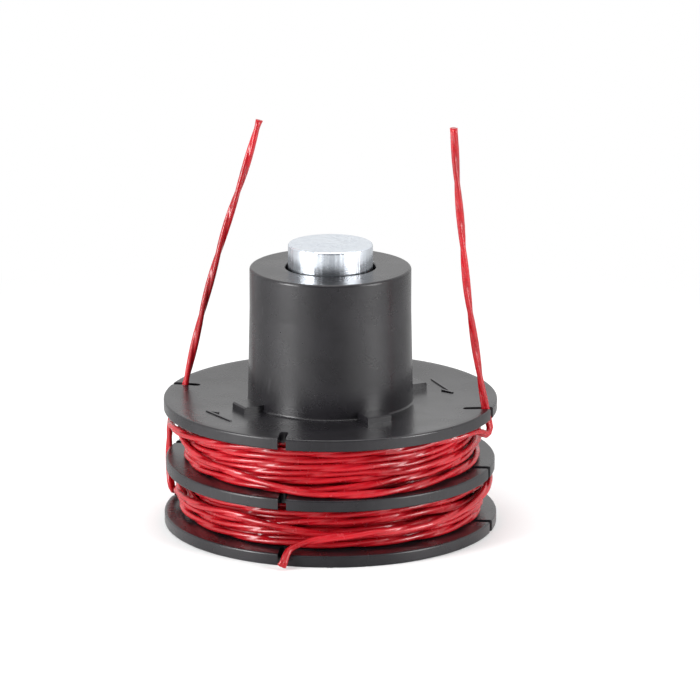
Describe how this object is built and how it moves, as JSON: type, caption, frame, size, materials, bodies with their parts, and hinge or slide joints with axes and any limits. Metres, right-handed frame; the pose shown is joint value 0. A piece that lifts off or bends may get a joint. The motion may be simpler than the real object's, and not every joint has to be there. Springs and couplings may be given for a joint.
{
  "type": "trimmer line spool",
  "caption": "Slotted spool wound with cutting line in stacked chambers, with a hollow drive neck, ratchet lugs and a pressed steel bump button; the line's free ends stand up beside it.",
  "frame": {"origin": "centre of the bottom flange's lower face, on the spool's axis", "axes": "+Z along the spool's axis from the open end of the bore towards the button; +X to the right and +Y away from the viewer in the picture"},
  "size_m": [0.0687, 0.0702, 0.0841],
  "materials": {
    "moulded_body": "black injection-moulded nylon with a soft satin gloss",
    "button_steel": "bright zinc-plated steel, turned, with a faintly blue tone",
    "cutting_line": "extruded, twisted red nylon line, slightly translucent and glossy"
  },
  "bodies": {
    "root": {"spool_body": "moulded_body", "bump_button": "button_steel", "upper_line": "cutting_line", "upper_line_end": "cutting_line", "lower_line": "cutting_line", "lower_line_end": "cutting_line", "lower_line_tuck": "cutting_line"}
  },
  "joints": []
}
